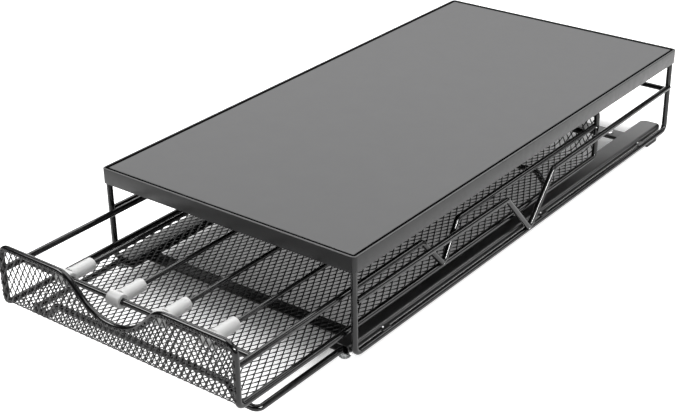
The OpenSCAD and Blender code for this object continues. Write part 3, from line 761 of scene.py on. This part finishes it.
def end_wire(y, dip):
    """Corners of the wire round one end of the drawer, with the finger dip or without."""
    left_end, left_top = (-RAIL_X, y, RAIL_END_Z), (-RAIL_X, y, DRAWER_TOP_Z)
    right_top, right_end = (RAIL_X, y, DRAWER_TOP_Z), (RAIL_X, y, RAIL_END_Z)
    middle = [(-DIP_HALF_W, y, DRAWER_TOP_Z), (0, y, DIP_VERTEX_Z), (DIP_HALF_W, y, DRAWER_TOP_Z)]
    return [left_end, left_top, *(middle if dip else []), right_top, right_end]


wire("front_frame_wire", end_wire(FRONT_Y, True),
     [CORNER_R, SHOULDER_R, DIP_R, SHOULDER_R, CORNER_R], "drawer", "front_outline_wire", steps=12)
wire("rear_frame_wire", end_wire(REAR_Y, False), [CORNER_R, CORNER_R], "drawer",
     "rear_outline_wire")

for word, side in SIDES.items():
    x = side * RAIL_X
    wire(f"{word}_lower_rail", [
        (x, FRONT_Y, RAIL_END_Z), (x, FRONT_Y, RAIL_Z),
        (x, REAR_Y, RAIL_Z), (x, REAR_Y, RAIL_END_Z),
    ], [RAIL_BEND_R, RAIL_BEND_R], "drawer", f"{word}_bottom_rail")
    x = side * SIDE_X
    before = (x, DRAWER_BRACE_Y - DRAWER_BRACE_W / 2, SIDE_Z)
    after = (x, DRAWER_BRACE_Y + DRAWER_BRACE_W / 2, SIDE_Z)
    tip = (side * TIP_X, DRAWER_BRACE_Y, TIP_Z)
    wire(f"{word}_braced_side", [
        (x, FRONT_Y, SIDE_Z), before, brace_corner(before, tip, after, BRACE_TIP_R), after,
        (x, REAR_Y, SIDE_Z),
    ], [BRACE_TOP_R, BRACE_TIP_R, BRACE_TOP_R], "drawer", f"{word}_side_wire")
    wire(f"{word}_slide_wire", [
        (side * LOOP_JOIN_X, LOOP_FRONT_Y, RUNNER_Z), (side * RUNNER_X, LOOP_FRONT_Y, RUNNER_Z),
        (side * RUNNER_X, LOOP_REAR_Y, RUNNER_Z), (side * LOOP_JOIN_X, LOOP_REAR_Y, RUNNER_Z),
    ], [LOOP_CORNER_R, LOOP_CORNER_R], "drawer", f"{word}_runner")

for word, y in (("front", LOOP_FRONT_Y), ("rear", LOOP_REAR_Y)):
    wire(f"{word}_ramp_wire", [
        (-LOOP_JOIN_X, y, RUNNER_Z), (-RAMP_FOOT_X, y, RUNNER_Z), (-RAMP_TOP_X, y, LOOP_Z),
        (RAMP_TOP_X, y, LOOP_Z), (RAMP_FOOT_X, y, RUNNER_Z), (LOOP_JOIN_X, y, RUNNER_Z),
    ], [RAMP_BEND_R] * 4, "drawer", f"{word}_loop_wire")
for word, y in (("front", FRONT_ROD_Y), ("rear", REAR_ROD_Y)):
    wire(f"{word}_clip_rod", [(-SIDE_X, y, SIDE_Z), (SIDE_X, y, SIDE_Z)], [], "drawer",
         f"{word}_divider_rod")


# ---------------------------------------------------------------- drawer: folded mesh


# Lengths along the flat sheet: down an end, round a fold, along the floor, and in all
END_RUN = MESH_TOP_Z - (MESH_FLOOR_Z + FOLD_R)
ARC_RUN = math.pi / 2 * FOLD_R
FLOOR_RUN = MESH_REAR_Y - MESH_FRONT_Y - 2 * FOLD_R
SHEET_RUN = 2 * (END_RUN + ARC_RUN) + FLOOR_RUN


def from_nearer_end(v):
    """Distance along the sheet from its nearer end, and whether that is the rear one."""
    rear = v > SHEET_RUN / 2
    return (SHEET_RUN - v if rear else v), rear


def folded(u, v, w):
    """Place of a point of the flat sheet: u across, v along it from the front's top, w inwards."""
    place, rear = from_nearer_end(v)
    if place < END_RUN:
        y, z = MESH_FRONT_Y + w, MESH_TOP_Z - place
    elif place < END_RUN + ARC_RUN:
        t = (place - END_RUN) / FOLD_R
        y = MESH_FRONT_Y + FOLD_R - (FOLD_R - w) * math.cos(t)
        z = MESH_FLOOR_Z + FOLD_R - (FOLD_R - w) * math.sin(t)
    else:
        y, z = MESH_FRONT_Y + FOLD_R + place - END_RUN - ARC_RUN, MESH_FLOOR_Z + w
    if rear:
        y = MESH_FRONT_Y + MESH_REAR_Y - y
    return at(u, y, z)


def bend_points(a, b, c, radius, steps=10):
    """Points of a flat corner rounded to a radius."""
    a, b, c = Vector(a), Vector(b), Vector(c)
    into, out = (b - a).normalized(), (c - b).normalized()
    cosine = max(-1.0, min(1.0, into.dot(out)))
    half = math.acos(cosine) / 2
    start, stop = b - into * radius * math.tan(half), b + out * radius * math.tan(half)
    centre = b + (out - into).normalized() * radius / math.cos(half)
    first, last = start - centre, stop - centre
    whole = first.angle(last)
    return [
        centre + (first * math.sin((1 - i / steps) * whole) + last * math.sin(i / steps * whole))
        / math.sin(whole)
        for i in range(steps + 1)
    ]


def outline_points(dip):
    """Outline of an end panel as (x, z), a little outside its wire's middle and open below."""
    half, top, far_down = RAIL_X + MESH_PAST_WIRE, DRAWER_TOP_Z + MESH_PAST_WIRE, -50
    corner_r = CORNER_R + MESH_PAST_WIRE
    dip_corners = [(-DIP_HALF_W, top), (0, DIP_VERTEX_Z + MESH_PAST_WIRE), (DIP_HALF_W, top)]
    dip_radii = [SHOULDER_R, DIP_R, SHOULDER_R]
    corners = [(-half, far_down), (-half, top), *(dip_corners if dip else []),
               (half, top), (half, far_down)]
    radii = [corner_r, *(dip_radii if dip else []), corner_r]
    points = [Vector(corners[0])]
    for a, b, c, radius in zip(corners, corners[1:], corners[2:], radii):
        points += bend_points(a, b, c, radius)
    return [*points, Vector(corners[-1])]


def signed_inside(x, z, outline):
    """Distance to the outline, positive inside it."""
    best, inside = math.inf, False
    previous = outline[-1]
    for point in outline:
        ax, az, bx, bz = previous[0], previous[1], point[0], point[1]
        dx, dz = bx - ax, bz - az
        t = max(0.0, min(1.0, ((x - ax) * dx + (z - az) * dz) / (dx * dx + dz * dz)))
        best = min(best, (x - ax - t * dx) ** 2 + (z - az - t * dz) ** 2)
        if (az > z) != (bz > z) and x < (bx - ax) * (z - az) / (bz - az) + ax:
            inside = not inside
        previous = point
    return math.sqrt(best) if inside else -math.sqrt(best)


FRONT_OUTLINE = outline_points(True)
REAR_OUTLINE = outline_points(False)


def room_inside(u, v):
    """How far a point of the flat sheet is inside its outline, in millimetres."""
    place, rear = from_nearer_end(v)
    end_half = RAIL_X + MESH_PAST_WIRE
    if place < END_RUN:
        return signed_inside(u, MESH_TOP_Z - place, REAR_OUTLINE if rear else FRONT_OUTLINE)
    share = min(1.0, (place - END_RUN) / ARC_RUN)
    return end_half + (MESH_FLOOR_HALF_W - end_half) * share - abs(u)


def trimmed(points, faces):
    """Cuts the flat sheet along its outline."""
    room = [room_inside(p[0], p[1]) for p in points]
    points = list(points)
    cuts, kept = {}, []
    for face in faces:
        signs = [room[i] > 0 for i in face]
        if all(signs):
            kept.append(face)
            continue
        if not any(signs):
            continue
        clipped = []
        for i, a in enumerate(face):
            b = face[(i + 1) % len(face)]
            if room[a] > 0:
                clipped.append(a)
            if (room[a] > 0) != (room[b] > 0):
                key = (min(a, b), max(a, b))
                if key not in cuts:
                    p, q = points[key[0]], points[key[1]]
                    share = room[key[0]] / (room[key[0]] - room[key[1]])
                    cuts[key] = len(points)
                    points.append(p.lerp(q, share))
                clipped.append(cuts[key])
        if len(clipped) > 2:
            kept.append(tuple(clipped))
    used = sorted({i for face in kept for i in face})
    place = {old: new for new, old in enumerate(used)}
    return [points[i] for i in used], [tuple(place[i] for i in face) for face in kept]


def mesh_tile():
    """One knot of the mesh and the two strands that rise from it, tilted out of the sheet."""
    knot_x, knot_y, cell_x, cell_y = KNOT_W / 2, KNOT_L / 2, CELL_W / 2, CELL_L / 2
    corners = {
        "left": (-knot_x, 0, 1), "low": (0, -knot_y, -1),
        "right": (knot_x, 0, 1), "top": (0, knot_y, -1),
        "right_low": (cell_x, cell_y - knot_y, -1), "right_left": (cell_x - knot_x, cell_y, 1),
        "left_low": (-cell_x, cell_y - knot_y, -1), "left_right": (knot_x - cell_x, cell_y, 1),
    }
    knot = ("left", "low", "right", "top")
    strands = ("right", "right_low", "right_left", "top"), ("top", "left_right", "left_low", "left")
    order = list(corners)
    points = [(x * MM, y * MM, tilt * MESH_TILT * MM) for x, y, tilt in corners.values()]
    faces = [[order.index(corner) for corner in face] for face in (knot, *strands)]
    return new_object("mesh_tile", points, faces=faces)


def drawer_mesh():
    """The front, floor and rear of the drawer as one sheet, cut to its outline and folded."""
    columns = int(2 * (RAIL_X + WIRE_D / 2) / CELL_W) + 2
    rows = int(SHEET_RUN / CELL_L) + 3
    sheet = grown(EXPANDED_SHEET, mesh_tile(), {
        "Columns": columns, "Rows": rows, "Finish": MESH_COAT,
    }, "flat_sheet")
    flat = [Vector((0, SHEET_RUN / 2, 0)) + vertex.co / MM for vertex in sheet.data.vertices]
    faces = [tuple(face.vertices) for face in sheet.data.polygons]
    bpy.data.objects.remove(sheet)
    within = [0 < p.y < SHEET_RUN for p in flat]
    faces = [face for face in faces if any(within[i] for i in face)]
    flat, faces = trimmed(flat, faces)
    piece = new_object("expanded_mesh_tray", [folded(p.x, p.y, p.z) for p in flat], faces=faces)
    solid = piece.modifiers.new("thickness", "SOLIDIFY")
    solid.thickness = MESH_T * MM
    solid.offset = 0
    baked(piece)
    dress(piece, MESH_COAT, "drawer", ["front_mesh", "floor_mesh", "rear_mesh"])


drawer_mesh()


# ---------------------------------------------------------------- dividers


def joined(first, second):
    """Union of two closed shells."""
    union = first.modifiers.new("union", "BOOLEAN")
    union.operation = "UNION"
    union.object = second
    union.solver = "EXACT"
    baked(first)
    bpy.data.objects.remove(second)
    return first


def ring_body(name, outline, axis, steps):
    """Closed ring: an outline of (along, radius) turned round an axis through the origin."""
    axis = Vector(axis)
    rings = [[(axis * along + spoke * radius) * MM for along, radius in outline]
             for spoke in spokes(axis, steps)]
    return sections(name, rings, closed=True)


def clip_pattern_piece():
    """Clip at the origin, with its hub along X and its sleeve along +Y."""
    hub_r, bore, half, edge = HUB_D / 2, WIRE_D / 2 + HUB_PLAY, HUB_L / 2, HUB_EDGE_R
    hub = ring_body("clip_hub", [
        (-half + HUB_CHAMFER, bore), (-half, bore + HUB_CHAMFER), (-half, hub_r - edge),
        *arc((-half + edge, hub_r - edge), edge, 180, 90),
        *arc((half - edge, hub_r - edge), edge, 90, 0),
        (half, bore + HUB_CHAMFER), (half - HUB_CHAMFER, bore),
    ], (1, 0, 0), 48)
    sleeve_r, hole, edge = SLEEVE_D / 2, DIVIDER_D / 2, SLEEVE_EDGE_R
    collar_y, neck_y = COLLAR_Y
    sleeve = ring_body("clip_sleeve", [
        (SLEEVE_START, hole), (SLEEVE_START, sleeve_r + COLLAR_RISE),
        (collar_y, sleeve_r + COLLAR_RISE - 0.05), (neck_y, sleeve_r),
        *arc((SLEEVE_L - edge, sleeve_r - edge), edge, 90, 0),
        (SLEEVE_L, hole + SLEEVE_CHAMFER), (SLEEVE_L - SLEEVE_CHAMFER, hole),
    ], (0, 1, 0), 44)
    return joined(hub, sleeve)


clip_pattern = clip_pattern_piece()
for number, x in enumerate(DIVIDER_X, 1):
    body = f"divider_{number}"
    wire(f"{body}_bar", [
        (x, FRONT_ROD_Y + DIVIDER_SETBACK, SIDE_Z), (x, REAR_ROD_Y - DIVIDER_SETBACK, SIDE_Z),
    ], [], body, f"{body}_wire", DIVIDER_D)
    for where, y, turn in (("front", FRONT_ROD_Y, 0), ("rear", REAR_ROD_Y, math.pi)):
        mesh = clip_pattern.data.copy()
        mesh.transform(Matrix.Translation(at(x, y, SIDE_Z)) @ Matrix.Rotation(turn, 4, "Z"))
        piece = bpy.data.objects.new(f"{body}_{where}_plastic_clip", mesh)
        bpy.context.scene.collection.objects.link(piece)
        dress(piece, CLIP_PLASTIC, body, [f"{body}_{where}_clip"], sharp=40)
bpy.data.objects.remove(clip_pattern)


# ---------------------------------------------------------------- weld beads


# Rows of x on the right side, z, radius and the places along y
STAND_BEADS = (
    (98.4, 4.4, 0.75, (BRACE_Y,)),
    (94.9, 6.5, 0.75, tuple(y - 1 for y in TAB_Y.values())),
    (94.9, 4.2, 1.1, (1.8,)),
    (98.7, MID_RAIL_Z, 0.7, (LEG_FRONT_Y + 1.6, LEG_REAR_Y - 1.6)),
)
DRAWER_BEADS = (
    (93.4, 18.9, 0.7, (DRAWER_BRACE_Y,)),
    (92.4, SIDE_Z, 0.6, (FRONT_Y + 1.9, REAR_Y - 1.9)),
    (92.4, RAIL_Z + 1.8, 0.6, (REAR_Y - 1.2,)),
)


def weld_beads(name, body, rows):
    """The rows of beads on both sides, as one piece."""
    beads = [(at(side * x, y, z), radius * MM)
             for side in SIDES.values() for x, z, radius, places in rows for y in places]
    source = new_object(name, [place for place, _ in beads])
    numbers_on(source.data, "bead_radius", [radius for _, radius in beads])
    grown(WELD_BEADS, source, {"Finish": WELD}, name)
    dress(source, WELD, body, sharp=180)


weld_beads("stand_weld_beads", "housing", STAND_BEADS)
weld_beads("drawer_weld_beads", "drawer", DRAWER_BEADS)


# ---------------------------------------------------------------- camera, floor and light


# Camera: its place in metres, its turn from +Y, its downward tilt and its roll in degrees, and
# its focal length and the picture's width in pixels
CAMERA_PLACE = (0.5180, -0.6996, 0.4500)
CAMERA_AROUND, CAMERA_DOWN, CAMERA_ROLL = 38.07, 26.9, -0.98
FOCAL_PIXELS, PICTURE_W, SENSOR_W = 1424.7, 679, 36


def camera():
    data = bpy.data.cameras.new("camera")
    data.sensor_width = SENSOR_W
    data.lens = FOCAL_PIXELS / PICTURE_W * SENSOR_W
    data.clip_start, data.clip_end = 0.05, 50
    made = bpy.data.objects.new("camera", data)
    bpy.context.scene.collection.objects.link(made)
    around, down, roll = (math.radians(a) for a in (CAMERA_AROUND, CAMERA_DOWN, CAMERA_ROLL))
    level = Vector((-math.sin(around), math.cos(around), 0))
    ahead = level * math.cos(down) - Vector((0, 0, math.sin(down)))
    right = Vector((math.cos(around), math.sin(around), 0))
    above = right.cross(ahead)
    x_axis = right * math.cos(roll) + above * math.sin(roll)
    y_axis = above * math.cos(roll) - right * math.sin(roll)
    turn = Matrix((x_axis, y_axis, -ahead)).transposed().to_4x4()
    made.matrix_world = Matrix.Translation(CAMERA_PLACE) @ turn
    bpy.context.scene.camera = made


# Floor: a matt grey square, in metres, that glows where it is open, and so is seen as white. Under
# and in front of the stand the glow is held back, which paints shade on the floor on top of its
# real shadow. SHADE_X is where this painted shade under the stand fades out to the sides. SHADE_Y
# holds places along the stand with the share of the glow there.
STAGE_HALF, STAGE_Z, STAGE_GREY = 6.0, -0.0003, 0.9
OPEN_GLOW = 0.9
SHADE_X = (74, 88)
SHADE_Y = (
    (-60, 1), (-18, 0.65), (0, 0.14), (20, 0.13), (60, 0.22), (150, 0.16), (300, 0.16),
    (385, 0.3), (415, 1),
)


def glow_share_painted_shade(material):
    """Share of the glow at each place of the floor, from 0 under the stand to 1 in the open: a
    painted shade under and in front of the stand.
    """
    nodes, links = material.node_tree.nodes, material.node_tree.links
    maths = calculator(material.node_tree)

    def rising(value, start, stop):
        """Goes from 0 at start to 1 at stop, both in millimetres."""
        share = maths("DIVIDE", maths("SUBTRACT", value, start * MM), (stop - start) * MM)
        return maths("MINIMUM", maths("MAXIMUM", share, 0.0), 1.0)

    place = nodes.new("ShaderNodeTexCoord")
    split = nodes.new("ShaderNodeSeparateXYZ")
    links.new(place.outputs["Object"], split.inputs["Vector"])
    beside = rising(maths("ABSOLUTE", split.outputs["X"], 0), *SHADE_X)
    first, last = SHADE_Y[0][0], SHADE_Y[-1][0]
    along = nodes.new("ShaderNodeValToRGB")
    stops = along.color_ramp.elements
    while len(stops) < len(SHADE_Y):
        stops.new(1.0)
    for stop, (y, share) in zip(stops, SHADE_Y):
        stop.position = (y - first) / (last - first)
        stop.color = (share, share, share, 1)
    links.new(rising(split.outputs["Y"], first - MIDDLE_Y, last - MIDDLE_Y), along.inputs["Fac"])
    return maths("MAXIMUM", beside, along.outputs["Color"])


def floor():
    """Wide floor just under the part, which is stage and no piece of it."""
    half, z = STAGE_HALF, STAGE_Z
    corners = [(-half, -half, z), (half, -half, z), (half, half, z), (-half, half, z)]
    made = new_object("floor", corners, faces=[(0, 1, 2, 3)])
    material = bpy.data.materials.new("floor_paint")
    material.use_nodes = True
    nodes, links = material.node_tree.nodes, material.node_tree.links
    nodes.clear()
    maths = calculator(material.node_tree)
    matt = nodes.new("ShaderNodeBsdfDiffuse")
    matt.inputs["Color"].default_value = (STAGE_GREY, STAGE_GREY, STAGE_GREY, 1)
    glow = nodes.new("ShaderNodeEmission")
    path = nodes.new("ShaderNodeLightPath")
    total = nodes.new("ShaderNodeAddShader")
    output = nodes.new("ShaderNodeOutputMaterial")
    seen = maths("MAXIMUM", path.outputs["Is Camera Ray"], path.outputs["Is Transmission Ray"])
    seen = maths("MAXIMUM", seen, path.outputs["Is Glossy Ray"])
    strength = maths("MULTIPLY", maths("MULTIPLY", glow_share_painted_shade(material), OPEN_GLOW), seen)
    links.new(strength, glow.inputs["Strength"])
    links.new(matt.outputs["BSDF"], total.inputs[0])
    links.new(glow.outputs["Emission"], total.inputs[1])
    links.new(total.outputs["Shader"], output.inputs["Surface"])
    made.data.materials.append(material)


# Strength of the white world for light and for the camera
WORLD_LIGHT, WORLD_WHITE = 0.06, 1.0
MIDDLE, RAIL_HEIGHT = (0, 0, 0), (0, 0, 0.03)


def area_light(name, place, target, size, watts, only_gloss=False):
    """Softbox at a place in metres, turned to its target, with its width and height as size."""
    data = bpy.data.lights.new(name, "AREA")
    data.shape = "RECTANGLE"
    data.size, data.size_y = size
    data.energy = watts
    made = bpy.data.objects.new(name, data)
    made.location = place
    made.rotation_mode = "QUATERNION"
    made.rotation_quaternion = (Vector(target) - Vector(place)).to_track_quat("-Z", "Y")
    bpy.context.scene.collection.objects.link(made)
    made.visible_diffuse = not only_gloss


def world():
    """Dim white surroundings, which the camera sees as full white."""
    made = bpy.data.worlds.new("studio")
    made.use_nodes = True
    nodes, links = made.node_tree.nodes, made.node_tree.links
    nodes.clear()
    path = nodes.new("ShaderNodeLightPath")
    dim = nodes.new("ShaderNodeBackground")
    dim.inputs["Strength"].default_value = WORLD_LIGHT
    bright = nodes.new("ShaderNodeBackground")
    bright.inputs["Strength"].default_value = WORLD_WHITE
    mix = nodes.new("ShaderNodeMixShader")
    output = nodes.new("ShaderNodeOutputWorld")
    links.new(path.outputs["Is Camera Ray"], mix.inputs["Fac"])
    links.new(dim.outputs["Background"], mix.inputs[1])
    links.new(bright.outputs["Background"], mix.inputs[2])
    links.new(mix.outputs["Shader"], output.inputs["Surface"])
    bpy.context.scene.world = made


camera()
floor()
world()
area_light("overhead", (0.2, -0.05, 1.6), MIDDLE, (1.3, 1.3), 20)
area_light("back_softbox", (-0.72, 1.15, 1.15), MIDDLE, (2.0, 1.3), 14)
area_light("high_softbox", (-0.6, 0.8, 1.5), MIDDLE, (1.6, 0.7), 8)
area_light("low_backdrop", (-1.0, 1.6, 0.42), (0, 0, 0.05), (2.6, 0.6), 4)
area_light("right_panel", (1.4, 0.8, 0.5), RAIL_HEIGHT, (1.0, 0.6), 1)
area_light("brace_kicker", (1.2, -0.34, 0.7), (0.05, 0.05, 0.03), (0.7, 0.12), 26, only_gloss=True)
area_light("rear_right_strip", (0.887, 1.221, 0.98), RAIL_HEIGHT, (0.75, 0.3), 4, only_gloss=True)
area_light("front_fill", (-0.9, -1.0, 1.4), (0, -0.1, 0.03), (1.0, 0.7), 26, only_gloss=True)

bpy.context.scene.view_settings.view_transform = "Standard"
